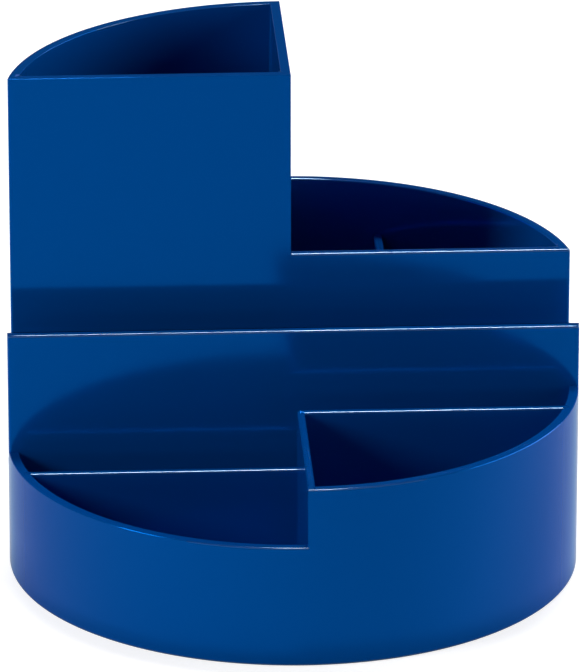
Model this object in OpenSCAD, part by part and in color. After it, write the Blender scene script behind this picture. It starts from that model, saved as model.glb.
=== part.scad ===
// Round desk organizer in glossy plastic.
// A round drum carries a tall cup, a short cup, a letter slot, a wide tray and two small front trays.
// The origin is the middle of the underside. The front trays face -Y and the tall cup is on the -X side.

/* [Drum] */
// Outer diameter of the whole organizer
body_d = 140; // [120:1:170]
// Thickness of the round outer walls and of the cup walls
wall_t = 2.4; // [1.6:0.1:3]
// Thickness of the base plate
base_t = 2.4; // [2:0.1:4]

/* [Heights above the desk] */
// Top of the tall cup
tall_h = 121; // [100:0.5:150]
// Top of the short cup
short_h = 74.6; // [66:0.2:90]
// Top of the wall in front of the letter slot
letter_h = 60.8; // [50:0.2:64]
// Top of the low partition inside the short cup
partition_h = 60.8; // [20:0.2:64]
// Top of the right front tray
high_h = 45.2; // [36:0.2:48]
// Top of the left front tray
low_h = 30.4; // [29:0.2:34]
// Top of the ledge at the open ends of the letter slot
ledge_h = 26.6; // [10:0.2:28]

/* [Places from the centre] */
// Distance from the centre back to the front face of both cups
cups_y = 12.2; // [6:0.1:20]
// Distance from the centre forward to the front face of the letter wall
letter_y = 4.7; // [2:0.1:10]
// Distance from the centre forward to the front face of the cross wall
cross_y = 19.7; // [16:0.1:30]
// Distance from the centre to the right to the middle of the low partition
partition_x = 24.5; // [16:0.1:40]
// Distance from the centre to the right to the tall cup's right face and to the step of the front rim
step_x = 0.1; // [0:0.1:6]

/* [Thin walls] */
// Thickness of the letter wall
letter_t = 2.4; // [1.6:0.1:3]
// Thickness of the cross wall
cross_t = 2; // [1.4:0.1:3]
// Thickness of the front divider
divider_t = 1.8; // [1.4:0.1:3]
// Thickness of the low partition
partition_t = 2.2; // [1.4:0.1:3]

/* [Joints] */
// Depth of the seats in the base plate that the walls stand in
seat_depth = 1; // [0.5:0.1:1.2]
// Clearance beside a wall in its seat, and at the ends of the walls inside the drum
fit_gap = 0.1; // [0.05:0.01:0.2]

/* [Colour] */
// Colour of the plastic
plastic_colour = "#004088"; // [#004088:Blue, #202020:Black, #a01818:Red]

/* [Hidden] */
$fn = 180;
// How far a cut runs past the face that it opens
overrun = wall_t;
body_r = body_d / 2;
inner_r = body_r - wall_t;
// Radius that the ends of the walls inside the drum follow
lining_r = inner_r - fit_gap;
// Height at which every wall stands in its seat
foot_z = base_t - seat_depth;
// Front and back faces of the walls, from the front to the back
cross_front = -cross_y;
cross_back = cross_front + cross_t;
letter_front = -letter_y;
letter_back = letter_front + letter_t;
cups_front = cups_y;
cups_inside = cups_front + wall_t;
partition_left = partition_x - partition_t / 2;

// A block between two opposite corners
module block(low, high) {
    translate(low)
        cube(high - low);
}

// An upright cylinder of one radius between two heights
module upright(radius, bottom, top) {
    translate([0, 0, bottom])
        cylinder(r = radius, h = top - bottom);
}

// The round outer wall from its seat up to a height
module round_wall(top) {
    difference() {
        upright(body_r, foot_z, top);
        upright(inner_r, foot_z - overrun, top + overrun);
    }
}

// What a piece keeps of the drum between two corners in plan, over its whole height
module keep(left, front, right, back) {
    intersection() {
        children();
        block([left, front, foot_z - overrun], [right, back, tall_h + overrun]);
    }
}

// The room that a straight wall's foot takes in the base plate
module seat(left, front, right, back) {
    block(
        [left - fit_gap, front - fit_gap, foot_z],
        [right + fit_gap, back + fit_gap, base_t + overrun]
    );
}

// Round floor with a step all round for the outer walls and seats for the straight ones
module base_plate() {
    color(plastic_colour)
        difference() {
            upright(body_r, 0, base_t);
            difference() {
                upright(body_r + overrun, foot_z, base_t + overrun);
                upright(lining_r, 0, tall_h);
            }
            seat(-body_r, cross_front, body_r, cross_back);
            seat(step_x, -body_r, step_x + divider_t, cross_back);
            seat(-body_r, letter_front, body_r, letter_back);
            seat(-body_r, cups_front, body_r, cups_inside);
            seat(step_x - wall_t, cups_front, step_x, body_r);
            seat(partition_left, cups_front, partition_left + partition_t, body_r);
        }
}

// Outer wall of the trays: low on the left, high on the right, and a ledge behind the letter wall
module front_wall() {
    color(plastic_colour)
        union() {
            keep(-body_r, letter_front, body_r, cups_front)
                round_wall(ledge_h);
            keep(-body_r, -body_r, step_x, letter_front)
                round_wall(low_h);
            keep(step_x, -body_r, body_r, letter_front)
                round_wall(high_h);
        }
}

// Stepped wall between the wide tray and the two front trays
module cross_wall() {
    color(plastic_colour)
        intersection() {
            upright(lining_r, foot_z, high_h);
            union() {
                block([-body_r, cross_front, foot_z], [step_x, cross_back, low_h]);
                block([step_x, cross_front, foot_z], [body_r, cross_back, high_h]);
            }
        }
}

// Short wall from the cross wall to the step of the front rim
module front_divider() {
    color(plastic_colour)
        intersection() {
            upright(lining_r, foot_z, high_h);
            block([step_x, -body_r, foot_z], [step_x + divider_t, cross_front, high_h]);
        }
}

// Wall in front of the letter slot, whose two ears lie on the ledges of the outer wall
module letter_wall() {
    color(plastic_colour)
        intersection() {
            union() {
                upright(lining_r, foot_z, letter_h);
                upright(body_r, ledge_h, letter_h);
            }
            block([-body_r, letter_front, foot_z], [body_r, letter_back, letter_h]);
        }
}

// Tall cup: round back, flat front and flat right wall
module tall_cup() {
    color(plastic_colour)
        difference() {
            keep(-body_r, cups_front, step_x, body_r)
                upright(body_r, foot_z, tall_h);
            keep(-body_r, cups_inside, step_x - wall_t, body_r)
                upright(inner_r, foot_z - overrun, tall_h + overrun);
        }
}

// Short cup: round back and flat front, closed on the left by the tall cup's right wall
module short_cup() {
    color(plastic_colour)
        difference() {
            keep(step_x, cups_front, body_r, body_r)
                upright(body_r, foot_z, short_h);
            keep(step_x - overrun, cups_inside, body_r, body_r)
                upright(inner_r, foot_z - overrun, short_h + overrun);
        }
}

// Low partition from the short cup's flat front to its round back
module cup_partition() {
    color(plastic_colour)
        intersection() {
            upright(lining_r, foot_z, partition_h);
            block(
                [partition_left, cups_inside, foot_z],
                [partition_left + partition_t, body_r, partition_h]
            );
        }
}

base_plate();
front_wall();
cross_wall();
front_divider();
letter_wall();
tall_cup();
short_cup();
cup_partition();
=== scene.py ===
"""Round desk organizer in glossy blue polystyrene, built as eight moulded pieces on a pale studio floor."""

import math

import bmesh
import bpy
from bpy.props import FloatProperty, FloatVectorProperty, IntProperty, PointerProperty
from mathutils import Matrix, Vector


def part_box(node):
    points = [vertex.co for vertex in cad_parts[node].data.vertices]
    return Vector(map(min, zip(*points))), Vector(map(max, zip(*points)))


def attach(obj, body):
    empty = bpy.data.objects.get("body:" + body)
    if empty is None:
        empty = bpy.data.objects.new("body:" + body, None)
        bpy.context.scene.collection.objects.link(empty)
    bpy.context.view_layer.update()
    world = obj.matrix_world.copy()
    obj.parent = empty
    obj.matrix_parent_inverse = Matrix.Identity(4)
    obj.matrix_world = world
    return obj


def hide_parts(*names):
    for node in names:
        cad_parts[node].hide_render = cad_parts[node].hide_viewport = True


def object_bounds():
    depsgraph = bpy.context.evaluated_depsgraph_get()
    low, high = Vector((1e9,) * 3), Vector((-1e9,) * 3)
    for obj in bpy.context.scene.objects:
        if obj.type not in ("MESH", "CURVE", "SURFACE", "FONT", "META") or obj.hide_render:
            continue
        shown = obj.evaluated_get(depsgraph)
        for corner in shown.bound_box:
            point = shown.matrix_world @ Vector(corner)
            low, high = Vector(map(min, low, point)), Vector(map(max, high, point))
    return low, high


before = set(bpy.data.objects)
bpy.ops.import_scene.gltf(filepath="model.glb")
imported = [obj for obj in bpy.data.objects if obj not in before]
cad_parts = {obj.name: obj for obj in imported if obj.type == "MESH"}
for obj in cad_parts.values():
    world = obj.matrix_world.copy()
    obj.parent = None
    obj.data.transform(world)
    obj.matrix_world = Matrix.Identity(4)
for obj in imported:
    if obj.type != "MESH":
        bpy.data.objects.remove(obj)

bl_info = {
    "name": "Round desk organizer",
    "version": (1, 0, 0),
    "blender": (4, 5, 0),
    "location": "3D View > Sidebar > Organizer",
    "description": "Builds a glossy round desk organizer from moulded pieces, in a pale studio",
    "category": "Object",
}

CAD_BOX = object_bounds()
MM = 0.001
BODY = "root"
# Vertices closer than this are one vertex
WELD = 0.001 * MM
# An edge this close to the round wall ends against it
NEAR = 0.1 * MM
# Faces that turn by more than this at an edge make it a sharp edge
SHARP = math.radians(30)
# Whatever lies left of this in the front wall belongs to its low half
LEFT_HALF = -10 * MM
# The cups' round rims get the painted-highlight copy of the plastic as far as this from the middle, to the
# left and to the right
HIGHLIGHT_REACH_BACK = 46 * MM
# The front wall's rims get the painted-highlight copy of the plastic as far as this from the middle
HIGHLIGHT_REACH_FRONT = 28 * MM
# Places in each piece's list of materials: the plain plastic, and its copy that paints whitish highlight
# lines on the rounded rims
FLAT, PAINTED_HIGHLIGHT = 0, 1
# Sides of a cut that are taken off
BELOW, ABOVE = "BELOW", "ABOVE"
# Straight steps in the round floor's edge
FLOOR_STEPS = 96
# Height of the photograph in pixels, its longer side
PHOTO_HEIGHT = 672
# Width of the camera's sensor in millimetres
SENSOR_WIDTH = 36
# The camera sees nothing past this many metres
FAR_END = 100
# Object name, power, azimuth and elevation in degrees, distance, width and height in metres
SOFTBOXES = (
    ("key_softbox", "key_power", -67, 24, 1.0, 0.32, 0.32),
    ("top_softbox", "top_power", 169, 76, 3.0, 0.6, 0.6),
    ("side_softbox", "side_power", 98, 16, 1.2, 1.2, 0.6),
)
# Share of the world's light at the sine of a direction's height above the horizon
SKY = ((0.0, 1.0), (0.09, 1.0), (0.13, 0.2), (0.21, 0.03), (0.7, 0.03), (1.0, 0.1))


def linear(hex_colour):
    """Linear colour of an sRGB hex value such as 01275b."""
    shares = [int(hex_colour[i : i + 2], 16) / 255 for i in (0, 2, 4)]
    return [s / 12.92 if s <= 0.04045 else ((s + 0.055) / 1.055) ** 2.4 for s in shares]


def highest(node, part):
    """Top of the vertices of a CAD node that part says yes to."""
    return max(v.co.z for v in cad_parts[node].data.vertices if part(v.co))


class Plan:
    """Sizes and places of the organizer, read from the CAD parts in model.glb, in metres."""

    foot, base_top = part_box("front_wall")[0].z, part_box("base_plate")[1].z
    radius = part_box("base_plate")[1].x
    cross_front, cross_back = (c.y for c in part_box("cross_wall"))
    letter_front, letter_back = (c.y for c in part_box("letter_wall"))
    step, divider_right = (c.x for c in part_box("front_divider"))
    partition_left, partition_right = (c.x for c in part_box("cup_partition"))
    cups_front, cups_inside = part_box("tall_cup")[0].y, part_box("cup_partition")[0].y
    wall = cups_inside - cups_front
    inner_radius = radius - wall
    tall_top, short_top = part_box("tall_cup")[1].z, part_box("short_cup")[1].z
    letter_top, partition_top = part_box("letter_wall")[1].z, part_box("cup_partition")[1].z
    high_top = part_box("front_wall")[1].z
    low_top = highest("front_wall", lambda p: p.x < LEFT_HALF)
    ledge_top = highest("front_wall", lambda p: p.y > 0)


class MouldingSizes(bpy.types.PropertyGroup):
    """Roundings of the moulded pieces and how finely they are drawn."""

    rim_radius: FloatProperty(
        name="Rim radius",
        description="Radius that the open edges of the walls are rounded to",
        default=0.5 * MM,
        unit="LENGTH",
    )
    front_radius: FloatProperty(
        name="Front rim radius",
        description="Radius that the front wall's rims and ledges are rounded to",
        default=0.3 * MM,
        unit="LENGTH",
    )
    crisp_radius: FloatProperty(
        name="Crisp rim radius",
        description="Radius that the tall cup's rim is rounded to",
        default=0.15 * MM,
        unit="LENGTH",
    )
    corner_radius: FloatProperty(
        name="Corner radius",
        description="Radius of the upright outer corners at the ends of the round walls",
        default=0.6 * MM,
        unit="LENGTH",
    )
    inner_radius: FloatProperty(
        name="Inner corner radius",
        description="Radius of the upright corners inside the two cups",
        default=1.2 * MM,
        unit="LENGTH",
    )
    circle_steps: IntProperty(
        name="Circle steps",
        description="Number of straight steps in the full circle of the drum",
        default=360,
    )
    rounding_steps: IntProperty(
        name="Rounding steps",
        description="Number of straight steps across a rounded edge",
        default=4,
    )


class PlasticFinish(bpy.types.PropertyGroup):
    """Colour and gloss of the plastic, and of its copy that paints highlight lines on the rims."""

    face_colour: FloatVectorProperty(
        name="Plastic colour",
        description="Colour of the dyed polystyrene on the faces",
        default=linear("004b99"),
        subtype="COLOR",
    )
    face_tint: FloatVectorProperty(
        name="Reflection tint",
        description="Tint of what the faces mirror",
        default=linear("00bcff"),
        subtype="COLOR",
    )
    face_metallic: FloatProperty(
        name="Metallic share",
        description="Raised from plastic's 0, because the faces mirror the white floor in blue",
        default=0.4,
        subtype="FACTOR",
    )
    face_gloss: FloatProperty(
        name="Face gloss",
        description="Lowered from plastic's 0.5, because the faces show little white at a low angle",
        default=0.12,
        subtype="FACTOR",
    )
    # Base colour of the rims' copy of the plastic, which paints whitish highlight lines
    highlight_rim_colour: FloatVectorProperty(
        name="Rim colour",
        description="Colour of the plastic on the rounded rims",
        default=linear("003a7c"),
        subtype="COLOR",
    )
    # Whitish reflection tint of the rims' copy, so that it paints the lamps' highlight lines near white
    highlight_rim_tint: FloatVectorProperty(
        name="Rim reflection tint",
        description="Tint of the lamps that the rounded rims mirror",
        default=linear("b0dcff"),
        subtype="COLOR",
    )
    # Strong reflection of the rims' copy, which paints thin bright highlight lines
    highlight_rim_gloss: FloatProperty(
        name="Rim gloss",
        description="Raised from plastic's 0.5, because the rims shine in thin bright lines",
        default=1.0,
        subtype="FACTOR",
    )
    roughness: FloatProperty(
        name="Roughness",
        description="Mean roughness that the polished mould leaves",
        default=0.12,
        subtype="FACTOR",
    )
    roughness_spread: FloatProperty(
        name="Roughness spread",
        description="Share by which better and worse polished patches differ from the mean roughness",
        default=0.3,
        subtype="FACTOR",
    )
    patch_length: FloatProperty(
        name="Patch length",
        description="Distance between the better and worse polished patches of the mould",
        default=28 / 3 * MM,
        unit="LENGTH",
    )
    ior: FloatProperty(
        name="Refractive index",
        description="Refractive index of polystyrene",
        default=1.59,
    )
    wave_length: FloatProperty(
        name="Sink wave length",
        description="Distance between the shallow waves that cooling leaves in the walls",
        default=28 * MM,
        unit="LENGTH",
    )
    wave_height: FloatProperty(
        name="Sink wave height",
        description="Height of the shallow waves that cooling leaves in the walls",
        default=0.02 * MM,
        unit="LENGTH",
    )


class StudioSetting(bpy.types.PropertyGroup):
    """Camera, floor and lamps."""

    azimuth: FloatProperty(
        name="Azimuth",
        description="Turn of the camera round the organizer",
        default=math.radians(-2.858),
        unit="ROTATION",
        subtype="ANGLE",
    )
    elevation: FloatProperty(
        name="Elevation",
        description="Angle that the camera looks down at",
        default=math.radians(20.735),
        unit="ROTATION",
        subtype="ANGLE",
    )
    distance: FloatProperty(
        name="Distance",
        description="Distance from the camera to the point that it looks at",
        default=1.8134,
        unit="LENGTH",
    )
    look_right: FloatProperty(
        name="Look-at offset",
        description="How far right of the middle the camera looks",
        default=-0.247 * MM,
        unit="LENGTH",
    )
    look_height: FloatProperty(
        name="Look-at height",
        description="Height of the point that the camera looks at",
        default=57.721 * MM,
        unit="LENGTH",
    )
    focal_pixels: FloatProperty(
        name="Focal length in pixels",
        description="Focal length of the photograph's camera in pixels of a picture 672 pixels high",
        default=7413.0,
    )
    floor_colour: FloatVectorProperty(
        name="Floor colour",
        description="Colour of the floor",
        default=linear("bcbcbc"),
        subtype="COLOR",
    )
    floor_radius: FloatProperty(
        name="Floor radius",
        description="Radius of the round floor",
        default=9.0,
        unit="LENGTH",
    )
    floor_lift: FloatProperty(
        name="Floor lift",
        description="Strength that brings the floor up to white where the camera sees it",
        default=0.7,
    )
    gloss_lift: FloatProperty(
        name="Floor lift in gloss",
        description="Strength that brings the floor up where the plastic mirrors it",
        default=0.22,
    )
    key_power: FloatProperty(
        name="Key lamp",
        description="Power of the softbox on the left",
        default=6.7,
        unit="POWER",
    )
    top_power: FloatProperty(
        name="Top lamp",
        description="Power of the softbox above and behind",
        default=60.0,
        unit="POWER",
    )
    side_power: FloatProperty(
        name="Side lamp",
        description="Power of the softbox on the right",
        default=15.5,
        unit="POWER",
    )


def add_node(tree, kind, settings=(), links=()):
    """Adds a node to a tree, sets its fields and sockets, and links its sockets by name or number."""
    node = tree.nodes.new(kind)
    for name, value in dict(settings).items():
        if isinstance(name, int) or name in node.inputs:
            node.inputs[name].default_value = value
        else:
            setattr(node, name, value)
    for socket, output in dict(links).items():
        tree.links.new(output, node.inputs[socket])
    return node


def polystyrene(name, colour, tint, metallic, gloss):
    """Injection-moulded polystyrene from a polished mould. It is dyed right through, so it stays deep
    blue in the shade. It mirrors what stands near it a little waved, because thick walls sink a little
    as they cool, and a little unevenly sharp, because the mould's polish varies."""
    finish = bpy.context.scene.plastic_finish
    material = bpy.data.materials.new(name)
    material.use_nodes = True
    tree = material.node_tree
    tree.nodes.clear()
    place = add_node(tree, "ShaderNodeTexCoord").outputs["Object"]
    waves = add_node(
        tree,
        "ShaderNodeTexNoise",
        {"Scale": 1 / finish.wave_length, "Detail": 1.0, "Roughness": 0.4},
        {"Vector": place},
    )
    patches = add_node(
        tree,
        "ShaderNodeTexNoise",
        {"Scale": 1 / finish.patch_length, "Detail": 4.0, "Roughness": 0.6},
        {"Vector": place},
    )
    spread = finish.roughness_spread
    sheen = add_node(
        tree,
        "ShaderNodeMapRange",
        {"To Min": (1 - spread) * finish.roughness, "To Max": (1 + spread) * finish.roughness},
        {"Value": patches.outputs["Fac"]},
    )
    relief = add_node(
        tree,
        "ShaderNodeBump",
        {"Strength": 1.0, "Distance": finish.wave_height},
        {"Height": waves.outputs["Fac"]},
    )
    skin = add_node(
        tree,
        "ShaderNodeBsdfPrincipled",
        {
            "Base Color": (*colour, 1),
            "Metallic": metallic,
            "IOR": finish.ior,
            "Specular IOR Level": gloss,
            "Specular Tint": (*tint, 1),
        },
        {"Roughness": sheen.outputs["Result"], "Normal": relief.outputs["Normal"]},
    )
    add_node(tree, "ShaderNodeOutputMaterial", (), {"Surface": skin.outputs["BSDF"]})
    return material


def plastic_materials():
    """The two finishes of the pieces, in the order of their places: the faces, and the rounded rims' copy
    with a whiter, stronger reflection that paints highlight lines.
    """
    own = bpy.context.scene.plastic_finish
    wanted = {
        "moulded_polystyrene": (own.face_colour, own.face_tint, own.face_metallic, own.face_gloss),
        "moulded_polystyrene_rim": (own.highlight_rim_colour, own.highlight_rim_tint, 0.0, own.highlight_rim_gloss),
    }
    known = bpy.data.materials
    return [known.get(name) or polystyrene(name, *look) for name, look in wanted.items()]


def round_plan(radius, height):
    """A flat round face at a height, from which a piece's plan is cut."""
    sizes = bpy.context.scene.moulding_sizes
    bm = bmesh.new()
    bmesh.ops.create_circle(
        bm,
        cap_ends=True,
        radius=radius,
        segments=sizes.circle_steps,
        matrix=Matrix.Translation((0, 0, height)),
    )
    return bm


def once_each(items):
    """The items in their own order, each of them once."""
    return list(dict.fromkeys(items))


def cut(bm, axis, place, drop=None, faces=None):
    """Cuts faces along the plane across an axis at a place, and takes off the side named by drop."""
    faces = bm.faces[:] if faces is None else faces
    edges = once_each(e for f in faces for e in f.edges)
    verts = once_each(v for f in faces for v in f.verts)
    across = Vector([float(a == axis) for a in "XYZ"])
    bmesh.ops.bisect_plane(
        bm,
        geom=verts + edges + faces,
        dist=WELD,
        plane_co=across * place,
        plane_no=across,
        clear_inner=drop == BELOW,
        clear_outer=drop == ABOVE,
    )


def clear_corners(bm):
    """Takes the outline's points that crowd its corners away, so that the corners can be rounded."""
    reach = 2 * bpy.context.scene.moulding_sizes.inner_radius
    corners = [v.co.copy() for v in bm.verts if v.calc_edge_angle(0) > SHARP]
    crowding = [v for v in bm.verts if any(0 < (v.co - c).length < reach for c in corners)]
    bmesh.ops.dissolve_verts(bm, verts=[v for v in crowding if v.calc_edge_angle(0) < SHARP])


def outline_band(bm, faces):
    """Splits a band as wide as the round wall off faces, along their outline."""
    bmesh.ops.inset_region(bm, faces=faces, thickness=Plan.wall, use_boundary=True, use_even_offset=True)


def hollow(bm):
    """Leaves of a flat plan only the wall along its outline."""
    inside = bm.faces[:]
    outline_band(bm, inside)
    bmesh.ops.delete(bm, geom=inside, context="FACES")


def lift(bm, faces, height):
    """Extrudes faces up, or down where the height is negative, and returns the faces that moved."""
    edges = once_each(e for f in faces for e in f.edges)
    made = bmesh.ops.extrude_face_region(bm, geom=faces + edges)["geom"]
    moved = [v for v in made if isinstance(v, bmesh.types.BMVert)]
    bmesh.ops.translate(bm, vec=(0, 0, height), verts=moved)
    return [f for f in made if isinstance(f, bmesh.types.BMFace)]


def floor_faces(bm):
    """The faces of the base plate inside its step for the outer walls, at the height of the walls' feet."""

    def inside(vert):
        """True at the height of the walls' feet, and inside the round wall."""
        return vert.co.z > Plan.foot - WELD and vert.co.xy.length < Plan.inner_radius + WELD

    return [f for f in bm.faces if all(inside(v) for v in f.verts)]


def middle_of(edge):
    """Point halfway along an edge."""
    return (edge.verts[0].co + edge.verts[1].co) / 2


def upright(edge):
    """True for an edge that runs straight up."""
    along = edge.verts[0].co - edge.verts[1].co
    return abs(along.z) > WELD and along.xy.length < WELD


def sharp_edges(bm, lowest, top, exposed=lambda middle: True):
    """The sharp edges between two heights, both counted in, whose middle is exposed."""
    found = []
    for edge in bm.edges:
        inside = all(lowest - WELD < v.co.z < top + WELD for v in edge.verts)
        if inside and edge.is_manifold and edge.calc_face_angle() > SHARP and exposed(middle_of(edge)):
            found.append(edge)
    return found


def round_off(bm, edges, radius, finish=PAINTED_HIGHLIGHT):
    """Rounds edges to a radius and gives the roundings a finish, by default the copy that paints highlight
    lines.
    """
    steps = bpy.context.scene.moulding_sizes.rounding_steps
    made = bmesh.ops.bevel(
        bm,
        geom=edges,
        offset=radius,
        offset_type="OFFSET",
        segments=steps,
        profile=0.5,
        affect="EDGES",
        material=-1,
    )
    for face in made["faces"]:
        face.material_index = finish
    return made["faces"]


def put_in_order(bm):
    """Orders vertices, edges and faces by their places, because the operators that extrude and bevel
    leave them in another order in each run."""
    for rank, vert in enumerate(sorted(bm.verts, key=lambda v: v.co[:])):
        vert.index = rank
    bm.verts.sort()
    for parts in (bm.edges, bm.faces):
        for rank, part in enumerate(sorted(parts, key=lambda p: sorted(v.index for v in p.verts))):
            part.index = rank
        parts.sort()


def finish_piece(bm, node):
    """Makes the piece that stands for a CAD node, with its place in its mesh."""
    bmesh.ops.remove_doubles(bm, verts=bm.verts[:], dist=WELD)
    bmesh.ops.recalc_face_normals(bm, faces=bm.faces[:])
    put_in_order(bm)
    mesh = bpy.data.meshes.new("moulded_" + node)
    bm.to_mesh(mesh)
    bm.free()
    for material in plastic_materials():
        mesh.materials.append(material)
    mesh.shade_smooth()
    mesh.set_sharp_from_angle(angle=SHARP)
    piece = bpy.data.objects.new(mesh.name, mesh)
    bpy.context.scene.collection.objects.link(piece)
    even = piece.modifiers.new("Even normals", "WEIGHTED_NORMAL")
    even.keep_sharp = True
    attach(piece, BODY)
    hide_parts(node)


class ORGANIZER_OT_base_plate(bpy.types.Operator):
    """Round floor with a step for the outer walls and seats for the walls that stand on it"""

    bl_idname = "organizer.base_plate"
    bl_label = "Base plate"

    def execute(self, context):
        sizes = context.scene.moulding_sizes
        bm = round_plan(Plan.radius, 0)
        outline_band(bm, lift(bm, bm.faces[:], Plan.foot))
        left_face = Plan.step - Plan.wall
        seats = (
            (-Plan.radius, Plan.cross_front, Plan.radius, Plan.cross_back),
            (Plan.step, -Plan.radius, Plan.divider_right, Plan.cross_front),
            (-Plan.radius, Plan.letter_front, Plan.radius, Plan.letter_back),
            (-Plan.radius, Plan.cups_front, Plan.radius, Plan.cups_inside),
            (left_face, Plan.cups_inside, Plan.step, Plan.radius),
            (Plan.partition_left, Plan.cups_inside, Plan.partition_right, Plan.radius),
        )
        edge_x = (left_face, Plan.step, Plan.divider_right, Plan.partition_left, Plan.partition_right)
        tray_y = (Plan.cross_front, Plan.cross_back, Plan.letter_front, Plan.letter_back)
        cup_y = (Plan.cups_front, Plan.cups_inside)
        for axis, places in (("X", edge_x), ("Y", tray_y + cup_y)):
            for place in places:
                cut(bm, axis, place, faces=floor_faces(bm))
        raised = []
        for face in floor_faces(bm):
            x, y, _ = face.calc_center_median()
            if not any(left < x < right and front < y < back for left, front, right, back in seats):
                raised.append(face)
        lift(bm, raised, Plan.base_top - Plan.foot)
        round_off(bm, sharp_edges(bm, 0, 0), sizes.rim_radius)
        finish_piece(bm, "base_plate")
        return {"FINISHED"}


class ORGANIZER_OT_front_wall(bpy.types.Operator):
    """Outer wall of the trays: low on the left, high on the right, and a ledge behind the letter wall"""

    bl_idname = "organizer.front_wall"
    bl_label = "Front wall"

    def execute(self, context):
        sizes = context.scene.moulding_sizes
        bm = round_plan(Plan.radius, Plan.foot)
        hollow(bm)
        cut(bm, "Y", Plan.cups_front, drop=ABOVE)
        for place in (Plan.letter_back, Plan.letter_front, Plan.cross_back, Plan.cross_front):
            cut(bm, "Y", place)
        for place in (Plan.step, Plan.divider_right):
            cut(bm, "X", place)
        top = lift(bm, bm.faces[:], Plan.ledge_top - Plan.foot)
        trays = [f for f in top if f.calc_center_median().y < Plan.letter_front]
        top = lift(bm, trays, Plan.low_top - Plan.ledge_top)
        right = [f for f in top if f.calc_center_median().x > Plan.step]
        lift(bm, right, Plan.high_top - Plan.low_top)

        def exposed(middle):
            """Not under the letter wall's ears, beside a cup, or where a wall inside the drum ends."""
            x, y, _ = middle
            inside = middle.xy.length < Plan.radius - Plan.wall / 2
            at_cross_wall = inside and Plan.cross_front < y < Plan.cross_back
            at_divider = inside and Plan.step - WELD < x < Plan.divider_right and y < 0
            under_ear = Plan.letter_front + WELD < y < Plan.letter_back + WELD
            beside = abs(y - Plan.letter_front) < WELD or abs(y - Plan.cups_front) < WELD
            hidden_step = inside and abs(x - Plan.step) < WELD
            return not (at_cross_wall or at_divider or under_ear or beside or hidden_step)

        rims = sharp_edges(bm, Plan.low_top, Plan.high_top, exposed)
        rims = [e for e in rims if e.is_convex and not upright(e)]
        ledges = sharp_edges(bm, Plan.ledge_top, Plan.ledge_top, exposed)
        ledges = [e for e in ledges if middle_of(e).y > Plan.letter_back]
        # Rims near the middle keep the painted-highlight copy; farther out they get the plain finish, so no
        # highlight line is painted there
        for face in round_off(bm, rims + ledges, sizes.front_radius):
            if abs(face.calc_center_median().x) > HIGHLIGHT_REACH_FRONT:
                face.material_index = FLAT
        finish_piece(bm, "front_wall")
        return {"FINISHED"}


class ORGANIZER_OT_cross_wall(bpy.types.Operator):
    """Stepped wall between the wide tray and the two front trays"""

    bl_idname = "organizer.cross_wall"
    bl_label = "Cross wall"

    def execute(self, context):
        sizes = context.scene.moulding_sizes
        bm = round_plan(Plan.inner_radius, Plan.foot)
        cut(bm, "Y", Plan.cross_front, drop=BELOW)
        cut(bm, "Y", Plan.cross_back, drop=ABOVE)
        cut(bm, "X", Plan.step)
        cut(bm, "X", Plan.divider_right)
        top = lift(bm, bm.faces[:], Plan.low_top - Plan.foot)
        right = [f for f in top if f.calc_center_median().x > Plan.step]
        lift(bm, right, Plan.high_top - Plan.low_top)

        def exposed(middle):
            """Not against the divider or the round wall."""
            x, y, _ = middle
            at_divider = y < Plan.cross_front + WELD and Plan.step - WELD < x < Plan.divider_right
            at_wall = middle.xy.length > Plan.inner_radius - NEAR and abs(x) > Plan.radius / 2
            return not (at_divider or at_wall)

        rims = [e for e in sharp_edges(bm, Plan.low_top, Plan.high_top, exposed) if e.is_convex]
        round_off(bm, rims, sizes.rim_radius)
        finish_piece(bm, "cross_wall")
        return {"FINISHED"}


class ORGANIZER_OT_front_divider(bpy.types.Operator):
    """Short wall from the cross wall to the step of the front rim"""

    bl_idname = "organizer.front_divider"
    bl_label = "Front divider"

    def execute(self, context):
        sizes = context.scene.moulding_sizes
        bm = round_plan(Plan.inner_radius, Plan.foot)
        cut(bm, "X", Plan.step, drop=BELOW)
        cut(bm, "X", Plan.divider_right, drop=ABOVE)
        cut(bm, "Y", Plan.cross_front, drop=ABOVE)
        lift(bm, bm.faces[:], Plan.high_top - Plan.foot)

        def exposed(middle):
            """Along the divider, and not at its two ends."""
            return NEAR - Plan.inner_radius < middle.y < Plan.cross_front - WELD

        rims = sharp_edges(bm, Plan.high_top, Plan.high_top, exposed)
        round_off(bm, rims, sizes.rim_radius)
        finish_piece(bm, "front_divider")
        return {"FINISHED"}


class ORGANIZER_OT_letter_wall(bpy.types.Operator):
    """Wall in front of the letter slot, whose two ears lie on the ledges of the outer wall"""

    bl_idname = "organizer.letter_wall"
    bl_label = "Letter wall"

    def execute(self, context):
        sizes = context.scene.moulding_sizes
        bm = round_plan(Plan.radius, Plan.ledge_top)
        outline_band(bm, bm.faces[:])
        cut(bm, "Y", Plan.letter_front, drop=BELOW)
        cut(bm, "Y", Plan.letter_back, drop=ABOVE)
        under = [f for f in bm.faces if abs(f.calc_center_median().x) < Plan.radius / 2]
        top = lift(bm, bm.faces[:], Plan.low_top - Plan.ledge_top)
        top = lift(bm, top, Plan.high_top - Plan.low_top)
        lift(bm, top, Plan.letter_top - Plan.high_top)
        lift(bm, under, Plan.foot - Plan.ledge_top)

        def exposed(middle):
            """The upright corners of the ears above the rims and ledges that they stand against."""
            rim = Plan.low_top if middle.x < 0 else Plan.high_top
            at_front = abs(middle.y - Plan.letter_front) < WELD
            foot = rim if at_front else Plan.ledge_top
            return middle.z > foot and abs(middle.x) > Plan.inner_radius

        corners = sharp_edges(bm, Plan.ledge_top, Plan.letter_top, exposed)
        round_off(bm, [e for e in corners if upright(e)], sizes.corner_radius, FLAT)
        round_off(bm, sharp_edges(bm, Plan.letter_top, Plan.letter_top), sizes.rim_radius)
        finish_piece(bm, "letter_wall")
        return {"FINISHED"}


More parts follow.
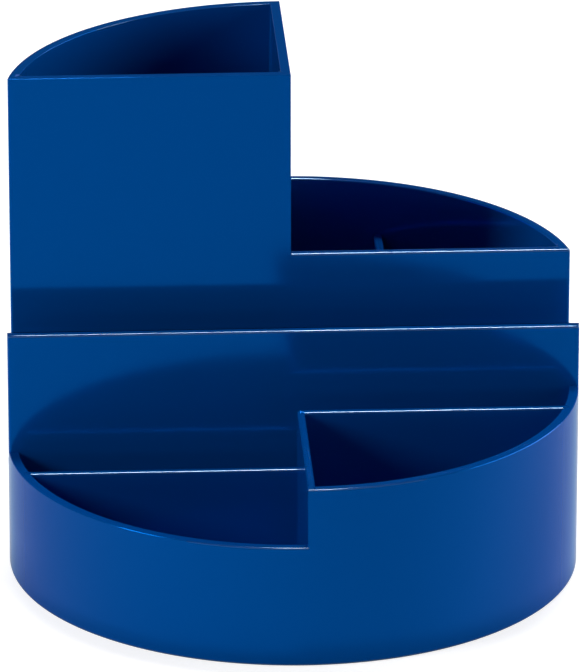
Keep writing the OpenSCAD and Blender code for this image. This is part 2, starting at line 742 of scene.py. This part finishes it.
class ORGANIZER_OT_tall_cup(bpy.types.Operator):
    """Tall cup: round back, flat front and flat right wall"""

    bl_idname = "organizer.tall_cup"
    bl_label = "Tall cup"

    def execute(self, context):
        sizes = context.scene.moulding_sizes
        bm = round_plan(Plan.radius, Plan.foot)
        cut(bm, "X", Plan.step, drop=ABOVE)
        cut(bm, "Y", Plan.cups_front, drop=BELOW)
        clear_corners(bm)
        hollow(bm)
        top = lift(bm, bm.faces[:], Plan.ledge_top - Plan.foot)
        top = lift(bm, top, Plan.short_top - Plan.ledge_top)
        lift(bm, top, Plan.tall_top - Plan.short_top)
        sides = [e for e in sharp_edges(bm, Plan.foot, Plan.tall_top) if upright(e)]
        inside = [e for e in sides if not e.is_convex]
        left = [e for e in sides if e.is_convex and middle_of(e).x < -Plan.radius / 2]
        outside = [e for e in left if middle_of(e).z > Plan.ledge_top]
        round_off(bm, outside, sizes.corner_radius, FLAT)
        round_off(bm, [e for e in inside if e.is_valid], sizes.inner_radius, FLAT)
        rims = sharp_edges(bm, Plan.tall_top, Plan.tall_top)
        right_end = Plan.step - Plan.wall - WELD
        # The rim is plain, except at the back near the middle, where the painted-highlight copy draws a
        # highlight line
        for face in round_off(bm, rims, sizes.crisp_radius, FLAT):
            x, y, _ = face.calc_center_median()
            if y > Plan.cups_inside + WELD and -HIGHLIGHT_REACH_BACK < x < right_end:
                face.material_index = PAINTED_HIGHLIGHT
        finish_piece(bm, "tall_cup")
        return {"FINISHED"}


class ORGANIZER_OT_short_cup(bpy.types.Operator):
    """Short cup: round back and flat front, closed on the left by the tall cup"""

    bl_idname = "organizer.short_cup"
    bl_label = "Short cup"

    def execute(self, context):
        sizes = context.scene.moulding_sizes
        bm = round_plan(Plan.radius, Plan.foot)
        cut(bm, "Y", Plan.cups_front, drop=BELOW)
        clear_corners(bm)
        hollow(bm)
        cut(bm, "X", Plan.step, drop=BELOW)
        top = lift(bm, bm.faces[:], Plan.ledge_top - Plan.foot)
        lift(bm, top, Plan.short_top - Plan.ledge_top)
        far = Plan.radius / 2
        sides = [e for e in sharp_edges(bm, Plan.foot, Plan.short_top, lambda m: m.x > far) if upright(e)]
        inside = [e for e in sides if not e.is_convex]
        outside = [e for e in sides if e.is_convex and middle_of(e).z > Plan.ledge_top]
        round_off(bm, outside, sizes.corner_radius, FLAT)
        round_off(bm, [e for e in inside if e.is_valid], sizes.inner_radius, FLAT)
        beside = Plan.step + WELD
        rims = sharp_edges(bm, Plan.short_top, Plan.short_top, lambda m: m.x > beside)
        # The rim gets the painted-highlight copy, except at the back far to the right, where it is plain
        for face in round_off(bm, rims, sizes.rim_radius):
            x, y, _ = face.calc_center_median()
            if x > HIGHLIGHT_REACH_BACK and y > Plan.cups_inside + WELD:
                face.material_index = FLAT
        finish_piece(bm, "short_cup")
        return {"FINISHED"}


class ORGANIZER_OT_cup_partition(bpy.types.Operator):
    """Low partition from the short cup's flat front to its round back"""

    bl_idname = "organizer.cup_partition"
    bl_label = "Cup partition"

    def execute(self, context):
        sizes = context.scene.moulding_sizes
        bm = round_plan(Plan.inner_radius, Plan.foot)
        cut(bm, "X", Plan.partition_left, drop=BELOW)
        cut(bm, "X", Plan.partition_right, drop=ABOVE)
        cut(bm, "Y", Plan.cups_inside, drop=BELOW)
        lift(bm, bm.faces[:], Plan.partition_top - Plan.foot)

        def exposed(middle):
            """Along the partition, and not at its two ends."""
            at_back = middle.xy.length > Plan.inner_radius - NEAR
            return middle.y > Plan.cups_inside + WELD and not at_back

        rims = sharp_edges(bm, Plan.partition_top, Plan.partition_top, exposed)
        round_off(bm, rims, sizes.rim_radius)
        finish_piece(bm, "cup_partition")
        return {"FINISHED"}


def floor_material(studio):
    """Matt white board, evenly pale. It shows white to the camera and pale in the gloss, and keeps the
    object's shadow."""
    material = bpy.data.materials.new("matt_white_board")
    material.use_nodes = True
    tree = material.node_tree
    tree.nodes.clear()
    board = add_node(tree, "ShaderNodeBsdfDiffuse", {"Color": (*studio.floor_colour, 1)})
    rays = add_node(tree, "ShaderNodeLightPath").outputs
    mirrored = add_node(
        tree,
        "ShaderNodeMath",
        {"operation": "MAXIMUM"},
        {0: rays["Is Glossy Ray"], 1: rays["Is Transmission Ray"]},
    )
    in_gloss = add_node(
        tree,
        "ShaderNodeMath",
        {"operation": "MULTIPLY", 1: studio.gloss_lift},
        {0: mirrored.outputs["Value"]},
    )
    strength = add_node(
        tree,
        "ShaderNodeMath",
        {"operation": "MULTIPLY_ADD", 1: studio.floor_lift},
        {0: rays["Is Camera Ray"], 2: in_gloss.outputs["Value"]},
    )
    glow = add_node(tree, "ShaderNodeEmission", (), {"Strength": strength.outputs["Value"]})
    shown = {0: board.outputs["BSDF"], 1: glow.outputs["Emission"]}
    both = add_node(tree, "ShaderNodeAddShader", (), shown)
    add_node(tree, "ShaderNodeOutputMaterial", (), {"Surface": both.outputs["Shader"]})
    return material


def direction(azimuth, elevation):
    """Unit vector from the organizer to a place round it. Azimuth 0 is the front, 90 degrees the right."""
    return Vector(
        (
            math.sin(azimuth) * math.cos(elevation),
            -math.cos(azimuth) * math.cos(elevation),
            math.sin(elevation),
        )
    )


def softbox(name, azimuth, elevation, distance, width, height, power, centre):
    """A rectangular lamp that looks at the organizer."""
    lamp = bpy.data.lights.new(name, "AREA")
    lamp.shape = "RECTANGLE"
    lamp.size, lamp.size_y = width, height
    lamp.energy = power
    towards = direction(math.radians(azimuth), math.radians(elevation))
    holder = bpy.data.objects.new(name, lamp)
    holder.location = centre + towards * distance
    holder.rotation_euler = towards.to_track_quat("Z", "Y").to_euler()
    holder.visible_camera = False
    bpy.context.scene.collection.objects.link(holder)


class ORGANIZER_OT_studio(bpy.types.Operator):
    """Pale floor, soft lamps and the camera at the photograph's place"""

    bl_idname = "organizer.studio"
    bl_label = "Studio"

    def execute(self, context):
        scene = context.scene
        studio = scene.studio_setting
        bm = bmesh.new()
        bmesh.ops.create_circle(bm, cap_ends=True, radius=studio.floor_radius, segments=FLOOR_STEPS)
        mesh = bpy.data.meshes.new("studio_floor")
        bm.to_mesh(mesh)
        bm.free()
        mesh.materials.append(floor_material(studio))
        floor = bpy.data.objects.new("studio_floor", mesh)
        scene.collection.objects.link(floor)
        centre = Vector((0, 0, (CAD_BOX[0].z + CAD_BOX[1].z) / 2))
        for name, power, *place in SOFTBOXES:
            softbox(name, *place, getattr(studio, power), centre)
        self.light_world(scene)
        self.place_camera(scene, studio)
        scene.view_settings.view_transform = "Standard"
        return {"FINISHED"}

    def light_world(self, scene):
        """White at the horizon, dim above it and a little brighter overhead."""
        world = bpy.data.worlds.new("studio_world")
        world.use_nodes = True
        tree = world.node_tree
        tree.nodes.clear()
        way = add_node(tree, "ShaderNodeTexCoord").outputs["Generated"]
        height = add_node(tree, "ShaderNodeSeparateXYZ", (), {"Vector": way})
        sky = add_node(tree, "ShaderNodeValToRGB", (), {"Fac": height.outputs["Z"]})
        stops = sky.color_ramp.elements
        while len(stops) < len(SKY):
            stops.new(1.0)
        for stop, (place, share) in zip(stops, SKY):
            stop.position = place
            stop.color = (share, share, share, 1)
        light = add_node(tree, "ShaderNodeBackground", (), {"Color": sky.outputs["Color"]})
        add_node(tree, "ShaderNodeOutputWorld", (), {"Surface": light.outputs["Background"]})
        scene.world = world

    def place_camera(self, scene, studio):
        """The camera of the photograph."""
        back = direction(studio.azimuth, studio.elevation)
        right = Vector((math.cos(studio.azimuth), math.sin(studio.azimuth), 0))
        up = back.cross(right)
        target = right * studio.look_right + Vector((0, 0, studio.look_height))
        lens = bpy.data.cameras.new("photo_camera")
        lens.sensor_width = SENSOR_WIDTH
        lens.lens = studio.focal_pixels * lens.sensor_width / PHOTO_HEIGHT
        lens.clip_end = FAR_END
        camera = bpy.data.objects.new("photo_camera", lens)
        turn = Matrix((right, up, back)).transposed().to_4x4()
        camera.matrix_world = Matrix.Translation(target + back * studio.distance) @ turn
        scene.collection.objects.link(camera)
        scene.camera = camera


STEPS = (
    ORGANIZER_OT_base_plate,
    ORGANIZER_OT_front_wall,
    ORGANIZER_OT_cross_wall,
    ORGANIZER_OT_front_divider,
    ORGANIZER_OT_letter_wall,
    ORGANIZER_OT_tall_cup,
    ORGANIZER_OT_short_cup,
    ORGANIZER_OT_cup_partition,
    ORGANIZER_OT_studio,
)
GROUPS = {
    "moulding_sizes": MouldingSizes,
    "plastic_finish": PlasticFinish,
    "studio_setting": StudioSetting,
}


class ORGANIZER_PT_panel(bpy.types.Panel):
    """The organizer's sizes, finish and studio, and a button for each step"""

    bl_idname = "ORGANIZER_PT_panel"
    bl_label = "Round desk organizer"
    bl_space_type = "VIEW_3D"
    bl_region_type = "UI"
    bl_category = "Organizer"

    def draw(self, context):
        for name, group in GROUPS.items():
            box = self.layout.box()
            for prop in group.__annotations__:
                box.prop(getattr(context.scene, name), prop)
        for step in STEPS:
            self.layout.operator(step.bl_idname)


def register():
    for made in (*GROUPS.values(), *STEPS, ORGANIZER_PT_panel):
        bpy.utils.register_class(made)
    for name, group in GROUPS.items():
        setattr(bpy.types.Scene, name, PointerProperty(type=group))


def unregister():
    for name in GROUPS:
        delattr(bpy.types.Scene, name)
    for made in reversed((*GROUPS.values(), *STEPS, ORGANIZER_PT_panel)):
        bpy.utils.unregister_class(made)


def main():
    """Makes every piece and the studio."""
    register()
    for step in STEPS:
        _, name = step.bl_idname.split(".")
        getattr(bpy.ops.organizer, name)()


if __name__ == "__main__":
    main()
